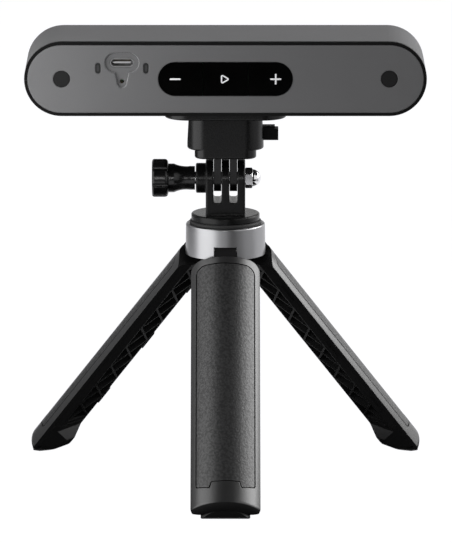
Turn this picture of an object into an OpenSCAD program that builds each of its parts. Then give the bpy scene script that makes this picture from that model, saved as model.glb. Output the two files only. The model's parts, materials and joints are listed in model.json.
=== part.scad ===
/* [Scanner body] */
// Overall width of the scanner body
body_w = 153; // [130:1:180]
// Height of the scanner body, and the diameter of its round ends
body_h = 28.5; // [27:0.5:34]
// Depth of the scanner body from the rear face to the front rim
body_d = 45; // [43:0.5:60]
// Distance from the rear face to the tripod thread
thread_from_rear = 20.75; // [20:0.25:24]
// Wall of the moulded main shell
shell_wall = 2; // [1.6:0.1:2.4]
// Radius of the rounded front edge
front_round = 4; // [2:0.5:5]
// Thickness of the shell's front wall
front_wall = 3; // [2.5:0.1:4]
// Width of the black rim round the rear panel
rim_w = 1.15; // [0.8:0.05:1.6]
// Depth of the black rim
rim_d = 2; // [1.6:0.1:3]
// Thickness of the rear panel
panel_t = 1.5; // [1.2:0.1:1.6]
// Narrow margin between the front panel and the edge of the body
front_margin = 4; // [3.5:0.1:5]
// Thickness of the front panel
front_panel_t = 1.5; // [1:0.1:1.8]
// How far the front panel lies below the front rim
front_panel_drop = 0.5; // [0.2:0.1:0.8]

/* [Rear controls] */
// Width of the three-key pad
pad_w = 50.8; // [46:0.2:54]
// Height of the three-key pad
pad_h = 12.7; // [10:0.1:14]
// Distance between the key centres
key_pitch = 19.1; // [17:0.1:20]
// Width of the middle key
mid_key_w = 17; // [14:0.5:20]
// How far a key moves when it is pressed
key_travel = 0.4; // [0.2:0.1:0.5]
// How far the keys stand out of the rear panel
key_proud = 0.2; // [0:0.1:0.5]
// Gap round each key
key_gap = 0.2; // [0.1:0.05:0.3]
// Sideways place of the cable socket
socket_x = -39.3; // [-42:0.1:-37]
// Height of the cable socket above the body's middle
socket_z = 6.2; // [4:0.1:7]
// Width of the recess round the cable socket
recess_w = 13.2; // [11:0.1:14]
// Height of the recess round the cable socket
recess_h = 7.9; // [6:0.1:9]
// Depth of the recess round the cable socket
recess_depth = 0.8; // [0.4:0.1:1]
// Width of the recess's tongue at its upper end
tongue_w = 5.8; // [4.5:0.1:7]
// Radius of the recess's tongue at its lower end
tongue_r = 1.9; // [1.5:0.1:2.4]
// Height of the cable lock's screw hole above the body's middle
lock_z = -0.93; // [-2:0.01:0]
// Radius of the cable lock's tapped hole
lock_hole_r = 0.8; // [0.6:0.05:1]
// Depth of the cable lock's tapped hole
lock_depth = 4.5; // [3:0.5:5]
// Sideways distance of the status lights from the cable socket
light_dx = 9.1; // [8:0.1:9.5]
// Height of the status lights above the body's middle
light_z = 4.15; // [2:0.05:6]
// Width of a status light
light_w = 1.9; // [1:0.1:2.5]
// Height of a status light
light_h = 4; // [3:0.1:5]
// Radius of the round plugs over the case screws
plug_r = 3.2; // [2.9:0.1:3.6]

/* [Optics] */
// Sideways distance of the depth cameras from the middle
depth_camera_x = 52; // [46:0.5:58]
// Radius of a depth camera's cover glass
depth_glass_r = 6.3; // [5:0.1:7]
// Radius of the pattern projector's cover glass
projector_glass_r = 7.3; // [6:0.1:8]
// Sideways place of the colour camera
colour_camera_x = 24; // [20:0.5:30]
// Radius of the colour camera's cover glass
colour_glass_r = 4.8; // [4:0.1:6]
// Sideways place of the pair of fill lights
fill_light_x = -25; // [-28:0.5:-22]
// Distance between the two fill lights
fill_light_pitch = 8; // [7:0.5:10]
// Radius of a fill light's cover
fill_light_r = 2.8; // [2:0.1:3.2]

/* [Head mount] */
// Width of the plate under the body
plate_w = 46.4; // [40:0.1:52]
// Front to back depth of the plate
plate_d = 38; // [34:0.5:40]
// Radius of the plate's corners
plate_corner = 9.3; // [4:0.1:14]
// Thickness of the plate
plate_t = 2.2; // [1.6:0.1:3]
// Width of the mount block
block_w = 29.3; // [26:0.1:32]
// Front to back depth of the mount block
block_d = 23; // [21:0.5:24]
// Height of the mount block down to its step
block_h = 13.1; // [12.8:0.05:16]
// Width of the lower step
step_w = 23.6; // [20:0.1:26]
// Height of the lower step
step_h = 3.2; // [3:0.1:6]
// Half width of the flat front of the block
block_flat = 7.45; // [6:0.05:8]
// Draft of the block's sides, which lean in towards the plate
block_lean = 3; // [0:0.5:4]
// Distance from the step's underside down to the tilt pivot
pivot_drop = 9.2; // [8.6:0.05:10]
// Length of the latch tab outside the block
latch_reach = 5.6; // [4:0.05:8]
// Height of the latch tab
latch_h = 5.4; // [4:0.1:7]
// Depth of the latch tab
latch_d = 5.6; // [5:0.1:11]
// How far the latch is pushed to free the plate
latch_travel = 2; // [1.5:0.1:2]

/* [Tilt hinge] */
// Thickness of each hinge prong of the lower fork
prong_t = 2.97; // [2.6:0.01:3.2]
// Width of the slots of the lower fork
slot_w = 3.13; // [3:0.01:3.4]
// Radius of the lower fork's round top, and half of its depth
fork_top_r = 7.3; // [6.8:0.1:7.5]
// Depth of the fork's slots below the pivot
slot_depth = 8.45; // [8:0.05:9]
// Height of the pivot above the fork's foot disc
pivot_h = 13.5; // [13:0.05:17]
// Radius of the round end of the upper prongs
tongue_end_r = 5.1; // [4.6:0.1:6]
// Side clearance of an upper prong in its slot
prong_clear = 0.12; // [0.1:0.01:0.2]
// Radius of the pivot bolt
bolt_r = 2.45; // [2:0.05:2.6]
// Running clearance of the pivot bolt in its bores
bolt_clear = 0.08; // [0.05:0.01:0.1]
// Radius of the thumb knob's lobed end
knob_r = 7.3; // [6:0.1:8]
// Length of the thumb knob's lobed end
knob_head_l = 6.3; // [5:0.1:8]
// Length of the thumb knob's waisted neck
knob_neck_l = 10.2; // [8:0.1:12]
// Radius of the thumb knob's neck next to its lobed end
knob_neck_r = 5.55; // [5:0.05:6]
// Radius of the thumb knob's waist
knob_waist_r = 4.5; // [4:0.1:5]
// Number of lobes on the thumb knob
knob_lobes = 7; // [6:1:10]
// Radius of the fork's round boss beside the thumb knob
boss_r = 5.8; // [5:0.1:6.5]
// Length of the fork's round boss
boss_l = 3.8; // [3:0.1:5]
// Width across the flats of the acorn nut
nut_flats = 7; // [6:0.1:8]
// Length of the acorn nut's hexagon
nut_hex_l = 2.8; // [2:0.1:4]
// Length of the acorn nut's dome
nut_dome_l = 3.2; // [3:0.1:3.3]

/* [Tripod head] */
// Radius of the fork's foot disc
disc_r = 13.15; // [11:0.05:14]
// Thickness of the fork's foot disc
disc_t = 2.65; // [2:0.05:3]
// Radius of the pad on the tripod's top
pad_r = 13.8; // [13.5:0.1:14.6]
// Thickness of the pad on the tripod's top
pad_t = 1.2; // [0.8:0.1:2]
// Radius of the collar at its top
collar_top_r = 15.2; // [15:0.05:15.6]
// Radius of the collar at its lower edge
collar_low_r = 15.35; // [15:0.05:16]
// Height of the collar
collar_h = 12; // [11:0.5:16]
// Radius inside the collar
collar_bore_r = 14.45; // [14.3:0.05:14.5]
// Thickness of the collar's top
collar_top_t = 1.2; // [0.8:0.1:2]
// Distance from the leg hinge pins down to the collar's lower edge
collar_drop = 3.44; // [3:0.02:3.5]
// Height of the three notches in the collar's lower edge
notch_h = 4.95; // [4.9:0.05:5.6]
// Radius of the screw stud on the tripod's top
stud_r = 3.1; // [2.8:0.05:3.2]

/* [Legs] */
// Angle of an open leg from the upright
leg_angle = 40; // [36:0.5:44]
// Distance of the leg hinge pins from the column's axis
pivot_r = 12.5; // [12.3:0.05:12.6]
// Length of a leg from its hinge pin to its toe
leg_len = 113; // [100:1:140]
// Distance of the toe's contact edge from the folded leg's axis
toe_r = 8.8; // [8:0.1:9.5]
// Outer radius of the folded legs
leg_r = 15.45; // [15.2:0.05:15.6]
// Gap between a folded leg's side and the plane between two legs
leg_gap = 0.4; // [0.3:0.05:0.8]
// Wall of a leg's outer shell
leg_wall = 1.8; // [1.5:0.1:2.2]
// Distance of the leg's shoulder below its hinge pin
leg_top = 4.3; // [4.3:0.1:6]
// Radius of the leg's rounded top corners
leg_shoulder_r = 4; // [3:0.5:8.5]
// Distance of the core's inner face from the folded axis
core_back = 5.6; // [5:0.1:6.5]
// Thickness of the core's side walls and ribs
rib_t = 0.9; // [0.8:0.1:1.5]
// Thickness of the core's back web behind the shell
web_t = 2; // [1.5:0.1:3]
// Number of cross-ribbed bays in a leg's core
rib_bays = 8; // [5:1:9]
// Width of a leg's hinge lug
lug_w = 8.3; // [7:0.1:9]
// Radius of a leg's hinge lug
lug_r = 2.2; // [2:0.05:2.2]
// Side clearance of a hinge lug in its slot
lug_clear = 0.25; // [0.2:0.05:0.4]
// Radius of the hinge pins
pin_r = 0.8; // [0.6:0.05:0.9]
// Running clearance of the hinge pins
pin_clear = 0.06; // [0.03:0.01:0.1]
// Length of the snap ribs along a leg's side
snap_l = 8.2; // [6:0.1:10]
// Distance between the snap ribs
snap_pitch = 31.4; // [28:0.1:33]
// How far a snap rib stands out of the leg's side
snap_h = 0.6; // [0.3:0.05:0.65]
// Half width of the grip pad inset in a leg's shell
grip_half_w = 10.9; // [9:0.1:11.5]
// Distance of the grip pad's top below the leg's shoulder
grip_top = 3; // [2:0.1:6]
// Length of the grip pad
grip_len = 95; // [80:1:97]
// Radius of the grip pad's top corners
grip_corner_r = 3; // [2:0.5:8]
// Depth of the grip pad's seat in the shell
grip_t = 0.9; // [0.6:0.1:1.1]
// Width of the groove round the grip pad
grip_groove = 0.35; // [0.2:0.05:0.5]
// Length of the foot above the toe
foot_h = 17; // [14:0.5:20]
// Half width of the sole at the toe
sole_half_w = 9.3; // [7:0.05:10]
// Height of the shell's lower edge above the floor
shell_gap = 1.2; // [0.8:0.1:2]

/* [Hidden] */
$fn = 96;

// Directions of the three legs round the column
front_leg = -90;
right_leg = 30;
left_leg = 150;
leg_count = 3;
half_sector = 180 / leg_count;

// Small clearance between pieces that are seated on each other
seat = 0.1;
// Radial gap of a pressed or screwed fit
press = 0.02;
// Overshoot of a cut past the face it opens
cut = 1;
// Length that reaches past the whole object
far = 400;

// Heights along the column, from the floor up
pivot_z = leg_len * cos(leg_angle) + (pivot_r - toe_r) * sin(leg_angle);
collar_z = pivot_z - collar_drop;
pad_z = collar_z + collar_h;
disc_z = pad_z + pad_t;
fork_z = disc_z + disc_t;
tilt_z = fork_z + pivot_h;
step_z = tilt_z + pivot_drop;
block_z = step_z + step_h;
plate_z = block_z + block_h;
body_low_z = plate_z + plate_t;
body_z = body_low_z + body_h / 2;

// Reach of the open legs towards the front and the back, which centres the column between them
lip_r = 3;
toe_drop = 1.6;
shell_len = leg_len - toe_drop;
leg_reach = pivot_r + (leg_r - lip_r - pivot_r) * cos(leg_angle)
  + (shell_len - lip_r) * sin(leg_angle) + lip_r;
side_half_w = leg_r * sin(half_sector) - leg_gap / 2;
side_reach = leg_reach - leg_r * (1 - cos(half_sector)) * cos(leg_angle);
back_reach = side_reach * sin(right_leg) + side_half_w * cos(right_leg);
column_y = (leg_reach - back_reach) / 2;

// Scanner body, measured from the column's axis and the body's middle
body_r = body_h / 2;
body_span = body_w - body_h;
rear_y = -thread_from_rear;
front_y = rear_y + body_d;
shell_rear_y = rear_y + rim_d;
panel_back_y = rear_y + panel_t;
inner_r = body_r - shell_wall;
panel_r = body_r - rim_w - seat;
front_panel_r = body_r - front_margin;
front_panel_y = front_y - front_panel_drop - front_panel_t;
front_lip = 1.2;
wall_y = front_y - front_wall;

// Case screws, their posts in the shell and their places in the rear panel
screw_x = body_span / 2;
screw_r = 1.22;
screw_bore_r = screw_r + press;
screw_grip = 8;
post_from_rear = 5;
post_y = rear_y + post_from_rear;
post_r = 3.4;
post_l = 12;
post_floor = 2;
post_web_t = 1.6;
case_head_r = 2.3;
case_head_h = 1.9;
case_head_floor = 1.6;
case_head_y = post_y - case_head_floor;
plug_t = 1;
plug_pocket = plug_t + 2 * seat;
plug_boss_wall = 1.3;

// Layers inside the body, from the rear to the front
board_from_rear = 7.5;
board_y = rear_y + board_from_rear;
board_t = 1.6;
board_gap = 2.85;
board_w = 2 * (screw_x - post_r - board_gap);
board_h = 22;
pillar_r = 2.2;
pillar_inset = 6;
pillar_inner_x = 27;
pillar_z = 8;
bracket_t = 2;
optics_l = 12.8;
bracket_y = wall_y - optics_l;
holder_l = 5;
depth_holder_w = 14;
projector_holder_w = 16;
colour_holder_w = 11;
fill_holder_w = 6;

// Keys and the switches under them
key_flange = 0.8;
flange_t = 0.8;
flange_clear = 0.3;
switch_h = 1.9;
switch_w = 6;
switch_corner = 0.6;
stem_r = 1.5;
stem_h = 0.6;
stem_gap = 0.1;

// Standard plug and thread sizes
socket_w = 8.94;
socket_h = 3.26;
socket_wall = 0.3;
socket_back_t = 0.8;
tongue_plug_w = 6.69;
tongue_plug_t = 0.7;
tongue_set_back = 0.9;
lock_insert_wall = 1.1;
lock_insert_r = lock_hole_r + lock_insert_wall;
lock_boss_wall = 1;
insert_r = 5.6;
insert_l = 8;
insert_wall = 2;
insert_floor = 1.2;
thread_r = 3.175;

// Quick release, measured from the column's axis and the plate's underside
plate_edge = 0.6;
block_edge = 0.8;
spigot_r = 6;
spigot_l = 10.4;
spigot_end = plate_z - spigot_l;
spigot_top_r = 9;
spigot_top_h = 3;
groove_r = 5;
screw_head_h = 2.6;
screw_head_r = 4.1;
latch_clear = 0.25;
latch_drop = 7.65;
latch_z = plate_z - latch_drop;
latch_plate_t = 2.6;
latch_plate_d = 17;
latch_back = -10.6;
tab_root = 2.8;
tab_notch_l = 1.3;
tab_notch_h = 0.9;
spring_seat = -7.4;
spring_back = latch_back - latch_travel - latch_clear;
spring_wire = 0.22;
spring_r = 1;
spring_turns = 5;

// Tilt hinge along the pivot's axis
fork_w = 3 * prong_t + 2 * slot_w;
fork_edge = 0.6;
slot_corner = 0.9;
prong_x = (prong_t + slot_w) / 2;
prong_w = slot_w - 2 * prong_clear;
neck_gap = 0.35;
neck_end_x = -fork_w / 2 - boss_l - neck_gap;
neck_start_x = neck_end_x - knob_neck_l;
knob_end_x = neck_start_x - knob_head_l;
bolt_sunk = 2;
bolt_tip = 0.7;

// Tripod head
stud_l = 5.5;
hub_neck_wall = 2;
hub_neck_r = stud_r + hub_neck_wall;
hub_lift = 0.5;
stud_floor = 2.1;
pin_l = 2 * (sqrt(collar_bore_r * collar_bore_r - (pivot_r + pin_r) * (pivot_r + pin_r)) - seat);

// Legs and feet
core_r = leg_r - leg_wall - seat;
snap_first = 16.2;
grip_low_r = 1;
grip_rise = 17;
foot_lead = 3;
flare_l = 3;
heel_back = 2.2;
sole_inset = 0.3;
heel_round = 7;

// Rectangle centred on the origin with round corners, from true arcs
module round_rect(w, h, r) {
  square([w - 2 * r, h], center = true);
  square([w, h - 2 * r], center = true);
  for (sx = [-1, 1])
    for (sy = [-1, 1])
      translate([sx * (w / 2 - r), sy * (h / 2 - r)])
        circle(r);
}

// Bar with two full round ends
module pill(w, h) {
  long = max(w, h) - min(w, h);
  flat = w > h;
  square(flat ? [long, h] : [w, long], center = true);
  for (s = [-1, 1])
    translate(flat ? [s * long / 2, 0] : [0, s * long / 2])
      circle(min(w, h) / 2);
}

// Outline in the X-Z plane, carried from one depth to another
module slab(y0, y1) {
  translate([0, y1, 0])
    rotate([90, 0, 0])
      linear_extrude(y1 - y0)
        children();
}

// Half profile of radius against depth, carried round a bar with two round ends
module pill_body(span) {
  rotate([-90, 0, 0]) {
    for (s = [-1, 1])
      translate([s * span / 2, 0, 0])
        rotate([0, 0, -90 * s])
          rotate_extrude(angle = 180)
            children();
    translate([-span / 2, 0, 0])
      rotate([90, 0, 90])
        linear_extrude(span) {
          children();
          mirror([1, 0])
            children();
        }
  }
}

// Half profile of a ring between two radii and two depths
module band(r0, r1, low, high) {
  translate([r0, low])
    square([r1 - r0, high - low]);
}

// Half profile of a disc whose outer upper corner is rounded
module soft_disc(r, low, high, edge) {
  band(0, r, low, high - edge);
  band(0, r - edge, low, high);
  translate([r - edge, high - edge])
    circle(edge);
}

// Half profile of a disc whose outer lower corner is rounded
module soft_disc_low(r, low, high, edge) {
  band(0, r, low + edge, high);
  band(0, r - edge, low, high);
  translate([r - edge, low + edge])
    circle(edge);
}

// Block with round upright corners and softened lower edges
module soft_block(w, d, corner, low, high, edge) {
  for (sx = [-1, 1])
    for (sy = [-1, 1])
      translate([sx * (w / 2 - corner), sy * (d / 2 - corner), 0])
        rotate_extrude()
          soft_disc_low(corner, low, high, edge);
  translate([0, d / 2 - corner, 0])
    rotate([90, 0, 0])
      linear_extrude(d - 2 * corner)
        for (s = [0, 1])
          mirror([s, 0])
            soft_disc_low(w / 2, low, high, edge);
  translate([corner - w / 2, 0, 0])
    rotate([90, 0, 90])
      linear_extrude(w - 2 * corner)
        for (s = [0, 1])
          mirror([s, 0])
            soft_disc_low(d / 2, low, high, edge);
}

// Places what belongs to the column, to the scanner body, or to one open leg
module on_column() {
  translate([0, column_y, 0])
    children();
}

module on_body() {
  translate([0, column_y, body_z])
    children();
}

module on_leg(direction) {
  on_column()
    rotate([0, 0, direction])
      translate([pivot_r, 0, pivot_z])
        rotate([0, -leg_angle, 0])
          translate([-pivot_r, 0, 0])
            children();
}

// The floor and everything below a height above it, seen from a leg's own frame
module below_floor(height) {
  translate([pivot_r, 0, 0])
    rotate([0, leg_angle, 0])
      translate([-far / 2, -far / 2, height - pivot_z - far])
        cube(far);
}

// Scanner housing
module main_shell() {
  boss_h = insert_l + insert_floor;
  color("dimgray")
    on_body() {
      difference() {
        pill_body(body_span)
          soft_disc(body_r, shell_rear_y, front_y, front_round);
        pill_body(body_span)
          band(0, inner_r, shell_rear_y - cut, wall_y);
        pill_body(body_span)
          band(0, front_panel_r + seat, front_panel_y, front_y + cut);
        pill_body(body_span)
          band(0, front_panel_r - front_lip, wall_y - cut, front_y + cut);
        translate([0, 0, -body_r - cut])
          cylinder(h = shell_wall + 2 * cut, r = insert_r + seat);
      }
      intersection() {
        pill_body(body_span)
          band(0, inner_r + shell_wall / 2, shell_rear_y, wall_y);
        difference() {
          translate([0, 0, -body_r])
            cylinder(h = boss_h, r = insert_r + insert_wall);
          translate([0, 0, -body_r - cut])
            cylinder(h = boss_h + 2 * cut, r = insert_r + seat);
        }
      }
      for (s = [-1, 1])
        translate([s * screw_x, 0, 0])
          screw_post();
    }
}

// Post for a case screw, held to the shell by one upright web
module screw_post() {
  difference() {
    slab(post_y, post_y + post_l)
      intersection() {
        union() {
          circle(post_r);
          square([post_web_t, body_h], center = true);
        }
        circle(inner_r + shell_wall / 2);
      }
    slab(post_y - cut, post_y + post_l - post_floor)
      circle(screw_bore_r);
  }
}

module rear_rim() {
  shelf = 2.6;
  spigot_d = 1.2;
  color("black")
    on_body()
      pill_body(body_span) {
        band(body_r - rim_w, body_r, rear_y, shell_rear_y);
        band(body_r - rim_w - shelf, body_r - rim_w / 2, panel_back_y, shell_rear_y);
        band(body_r - rim_w - shelf, inner_r - seat, panel_back_y, shell_rear_y + spigot_d);
      }
}

// Keyhole-shaped outline of the recess round the cable socket
module keyhole() {
  below_lock = tongue_r / 3;
  root_share = 0.45;
  tongue_end = lock_z - below_lock;
  root_z = socket_z - recess_h * root_share;
  translate([socket_x, socket_z])
    pill(recess_w, recess_h);
  translate([socket_x, tongue_end])
    circle(tongue_r);
  polygon([
    [socket_x - tongue_w / 2, root_z],
    [socket_x + tongue_w / 2, root_z],
    [socket_x + tongue_r, tongue_end],
    [socket_x - tongue_r, tongue_end]
  ]);
}

module rear_panel() {
  boss_end = post_y - seat;
  color("dimgray")
    on_body()
      difference() {
        union() {
          pill_body(body_span)
            band(0, panel_r, rear_y, panel_back_y);
          translate([socket_x, 0, lock_z])
            slab(rear_y + panel_t / 2, panel_back_y + lock_depth)
              circle(lock_insert_r + lock_boss_wall);
          for (s = [-1, 1])
            translate([s * screw_x, 0, 0])
              slab(rear_y + panel_t / 2, boss_end)
                circle(plug_r + plug_boss_wall);
        }
        slab(rear_y - cut, panel_back_y + cut)
          pill(pad_w + 2 * key_gap, pad_h + 2 * key_gap);
        slab(rear_y - cut, rear_y + recess_depth)
          keyhole();
        translate([socket_x, 0, socket_z])
          slab(rear_y - cut, board_y)
            pill(socket_w + 2 * seat, socket_h + 2 * seat);
        translate([socket_x, 0, lock_z]) {
          slab(rear_y - cut, panel_back_y)
            circle(lock_hole_r + press);
          slab(panel_back_y, board_y)
            circle(lock_insert_r + press);
        }
        for (s = [-1, 1]) {
          translate([socket_x + s * light_dx, 0, light_z])
            slab(rear_y - cut, panel_back_y + cut)
              pill(light_w + seat, light_h + seat);
          translate([s * screw_x, 0, 0]) {
            slab(rear_y - cut, rear_y + plug_pocket)
              circle(plug_r + seat / 2);
            slab(rear_y, case_head_y)
              circle(case_head_r + seat);
            slab(rear_y, boss_end + cut)
              circle(screw_r + seat);
          }
        }
      }
}

module screw_plugs() {
  edge = 0.3;
  color("black")
    on_body()
      for (s = [-1, 1])
        translate([s * screw_x, rear_y, 0])
          rotate([-90, 0, 0])
            rotate_extrude()
              soft_disc_low(plug_r, seat, seat + plug_t, edge);
}

module case_screws() {
  color("silver")
    on_body()
      for (s = [-1, 1])
        translate([s * screw_x, 0, 0]) {
          slab(case_head_y - case_head_h, case_head_y)
            circle(case_head_r);
          slab(case_head_y - seat, post_y + screw_grip)
            circle(screw_r);
        }
}

// One key of the pad: the part of the pill between two upright cuts, with a flange and a plunger
module pad_key(x0, x1, centre_x) {
  face_y = rear_y - key_proud;
  flange_y = panel_back_y + flange_clear;
  stem_y = board_y - switch_h - stem_h - key_travel - stem_gap;
  on_body() {
    slab(face_y, flange_y + flange_t)
      intersection() {
        pill(pad_w, pad_h);
        translate([x0, -body_h])
          square([x1 - x0, 2 * body_h]);
      }
    slab(flange_y, flange_y + flange_t)
      intersection() {
        pill(pad_w + 2 * key_flange, pad_h + 2 * key_flange);
        translate([x0, -body_h])
          square([x1 - x0, 2 * body_h]);
      }
    translate([centre_x, 0, 0])
      slab(flange_y, stem_y)
        circle(stem_r);
  }
}

module minus_key() {
  color("black")
    pad_key(-body_w, -mid_key_w / 2 - key_gap, -key_pitch);
}

module play_key() {
  color("black")
    pad_key(-mid_key_w / 2, mid_key_w / 2, 0);
}

module plus_key() {
  color("black")
    pad_key(mid_key_w / 2 + key_gap, body_w, key_pitch);
}

module key_switches() {
  color("darkslategray")
    on_body()
      for (k = [-1:1])
        translate([k * key_pitch, 0, 0]) {
          slab(board_y - switch_h, board_y)
            round_rect(switch_w, switch_w, switch_corner);
          slab(board_y - switch_h - stem_h, board_y - switch_h)
            circle(stem_r);
        }
}

module status_lights() {
  color("whitesmoke")
    on_body()
      for (s = [-1, 1])
        translate([socket_x + s * light_dx, 0, light_z])
          slab(rear_y + seat, board_y - seat)
            pill(light_w, light_h);
}

module cable_socket() {
  color("silver")
    on_body()
      translate([socket_x, 0, socket_z])
        difference() {
          slab(rear_y + recess_depth, board_y)
            pill(socket_w, socket_h);
          slab(rear_y, board_y - socket_back_t)
            pill(socket_w - 2 * socket_wall, socket_h - 2 * socket_wall);
        }
}

module socket_tongue() {
  color("black")
    on_body()
      translate([socket_x, 0, socket_z])
        slab(rear_y + recess_depth + tongue_set_back, board_y - socket_back_t)
          square([tongue_plug_w, tongue_plug_t], center = true);
}

module lock_insert() {
  color("goldenrod")
    on_body()
      translate([socket_x, 0, lock_z])
        slab(panel_back_y, panel_back_y + lock_depth)
          difference() {
            circle(lock_insert_r);
            circle(lock_hole_r);
          }
}

// Optics behind the front panel
module glass_places() {
  for (s = [-1, 1])
    translate([s * depth_camera_x, 0])
      children(0);
  children(1);
  translate([colour_camera_x, 0])
    children(2);
  for (s = [-1, 1])
    translate([fill_light_x + s * fill_light_pitch / 2, 0])
      children(3);
}

module front_panel() {
  color("black")
    on_body()
      difference() {
        pill_body(body_span)
          band(0, front_panel_r, front_panel_y, front_panel_y + front_panel_t);
        slab(front_panel_y - cut, front_y + cut)
          glass_places() {
            circle(depth_glass_r + seat);
            circle(projector_glass_r + seat);
            circle(colour_glass_r + seat);
            circle(fill_light_r + seat);
          }
      }
}

module cover_glasses() {
  glass_drop = 0.3;
  color("lightblue")
    on_body()
      slab(front_panel_y, front_panel_y + front_panel_t - glass_drop)
        glass_places() {
          circle(depth_glass_r);
          circle(projector_glass_r);
          circle(colour_glass_r);
          circle(fill_light_r);
        }
}

// One optical module: a square holder on the bracket and a stepped lens barrel up to its glass
module lens_module(x, holder, barrel) {
  holder_y = bracket_y + bracket_t;
  holder_corner = 1;
  barrel_wall = 1.2;
  lens_drop = 1.6;
  on_body()
    translate([x, 0, 0]) {
      slab(holder_y, holder_y + holder_l)
        round_rect(holder, holder, holder_corner);
      slab(holder_y + holder_l, front_panel_y - 2 * seat)
        difference() {
          circle(barrel);
          circle(barrel - barrel_wall);
        }
      slab(holder_y + holder_l, front_panel_y - lens_drop)
        circle(barrel - barrel_wall / 2);
    }
}

module left_depth_camera() {
  color("dimgray")
    lens_module(-depth_camera_x, depth_holder_w, depth_glass_r);
}

module right_depth_camera() {
  color("dimgray")
    lens_module(depth_camera_x, depth_holder_w, depth_glass_r);
}

module pattern_projector() {
  color("slategray")
    lens_module(0, projector_holder_w, projector_glass_r);
}

module colour_camera() {
  color("dimgray")
    lens_module(colour_camera_x, colour_holder_w, colour_glass_r);
}

module fill_lights() {
  color("lightyellow")
    for (s = [-1, 1])
      lens_module(fill_light_x + s * fill_light_pitch / 2, fill_holder_w, fill_light_r);
}

module optics_bracket() {
  sensor_hole_r = 4;
  pillar_outer_x = board_w / 2 - pillar_inset;
  color("lightgray")
    on_body() {
      difference() {
        pill_body(body_span)
          band(0, inner_r - seat, bracket_y, bracket_y + bracket_t);
        for (s = [-1, 1])
          translate([s * depth_camera_x, 0, 0])
            slab(bracket_y - cut, bracket_y + bracket_t + cut)
              circle(sensor_hole_r);
        translate([0, 0, -body_r])
          cylinder(h = insert_l + insert_floor + seat, r = insert_r + insert_wall + seat);
      }
      for (x = [-pillar_outer_x, -pillar_inner_x, pillar_inner_x, pillar_outer_x])
        for (s = [-1, 1])
          translate([x, 0, s * pillar_z])
            slab(board_y + board_t, bracket_y)
              circle(pillar_r);
    }
}

module main_board() {
  corner = 3;
  hole_r = 1.1;
  hole_inset = 2.5;
  color("seagreen")
    on_body()
      difference() {
        slab(board_y, board_y + board_t)
          round_rect(board_w, board_h, corner);
        for (s = [-1, 1])
          translate([s * (board_w / 2 - hole_inset), 0, 0])
            slab(board_y - cut, board_y + board_t + cut)
              circle(hole_r);
      }
}

// Chips on the board's front: place, width, height and thickness of each, as parts of the board's sizes
module board_chips() {
  chips = [[-0.13, 0.14, 0.64, 0.64, 1.2], [0.13, 0.18, 0.45, 0.45, 0.9], [0.34, -0.1, 0.36, 0.45, 0.8],
    [-0.34, -0.18, 0.4, 0.32, 0.9]];
  chip_y = board_y + board_t;
  corner = 0.5;
  color("darkslategray")
    on_body()
      for (chip = chips)
        translate([chip[0] * board_w, 0, chip[1] * board_h])
          slab(chip_y, chip_y + chip[4] * board_t)
            round_rect(chip[2] * board_h, chip[3] * board_h, corner);
}

module thread_insert() {
  color("goldenrod")
    on_body()
      translate([0, 0, -body_r + 2 * seat])
        difference() {
          cylinder(h = insert_l, r = insert_r);
          translate([0, 0, -cut])
            cylinder(h = insert_l + 2 * cut, r = thread_r);
        }
}

// Quick-release mount under the body
module mount_plate() {
  groove_half = latch_plate_t / 2 + 2 * latch_clear;
  color("black")
    on_column()
      difference() {
        union() {
          soft_block(plate_w, plate_d, plate_corner, plate_z, body_low_z, plate_edge);
          rotate_extrude() {
            band(0, spigot_top_r, plate_z - spigot_top_h, plate_z + plate_t / 2);
            band(0, spigot_r, spigot_end, plate_z);
          }
        }
        rotate_extrude() {
          band(groove_r, spigot_r + cut, latch_z - groove_half, latch_z + groove_half);
          band(0, thread_r + seat, spigot_end - cut, body_low_z + cut);
          band(0, screw_head_r + seat, spigot_end - cut, spigot_end + screw_head_h + seat);
        }
      }
}

module plate_screw() {
  color("silver")
    on_column()
      rotate_extrude() {
        band(0, screw_head_r, spigot_end + 2 * seat, spigot_end + screw_head_h);
        band(0, thread_r - seat / 2, spigot_end + 2 * seat, body_low_z + insert_l - cut);
      }
}

module upper_prong() {
  rotate([90, 0, 90])
    translate([0, 0, -prong_w / 2])
      linear_extrude(prong_w)
        difference() {
          union() {
            translate([0, tilt_z])
              circle(tongue_end_r);
            polygon([[-tongue_end_r, tilt_z], [tongue_end_r, tilt_z], [fork_top_r, step_z + cut],
              [-fork_top_r, step_z + cut]]);
          }
          translate([0, tilt_z])
            circle(bolt_r + bolt_clear);
        }
}

module mount_block() {
  pocket_t = latch_plate_t + 2 * latch_clear;
  pocket_end = block_w / 2 - tab_root + latch_clear;
  tab_room = latch_h + 2 * latch_clear;
  tab_pocket = block_w / 2 - tab_root - latch_travel - latch_clear;
  color("black")
    on_column() {
      difference() {
        union() {
          soft_block(block_w, block_d, block_w / 2 - block_flat, block_z, plate_z, block_edge);
          soft_block(step_w, block_d, step_w / 2 - block_flat, step_z, plate_z, block_edge);
        }
        for (s = [0, 1])
          mirror([s, 0, 0])
            translate([block_w / 2, -far / 2, block_z + 2 * block_edge])
              rotate([0, -block_lean, 0])
                cube(far);
        translate([0, 0, plate_z - spigot_top_h - latch_clear])
          cylinder(h = spigot_top_h + cut, r = spigot_top_r + latch_clear);
        translate([0, 0, spigot_end - latch_clear])
          cylinder(h = plate_z, r = spigot_r + latch_clear);
        translate([spring_back, -latch_plate_d / 2 - latch_clear, latch_z - pocket_t / 2])
          cube([pocket_end - spring_back, latch_plate_d + 2 * latch_clear, pocket_t]);
        translate([tab_pocket, -latch_d / 2 - latch_clear, latch_z - tab_room / 2])
          cube([far, latch_d + 2 * latch_clear, tab_room]);
      }
      for (s = [-1, 1])
        translate([s * prong_x, 0, 0])
          upper_prong();
    }
}

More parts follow.
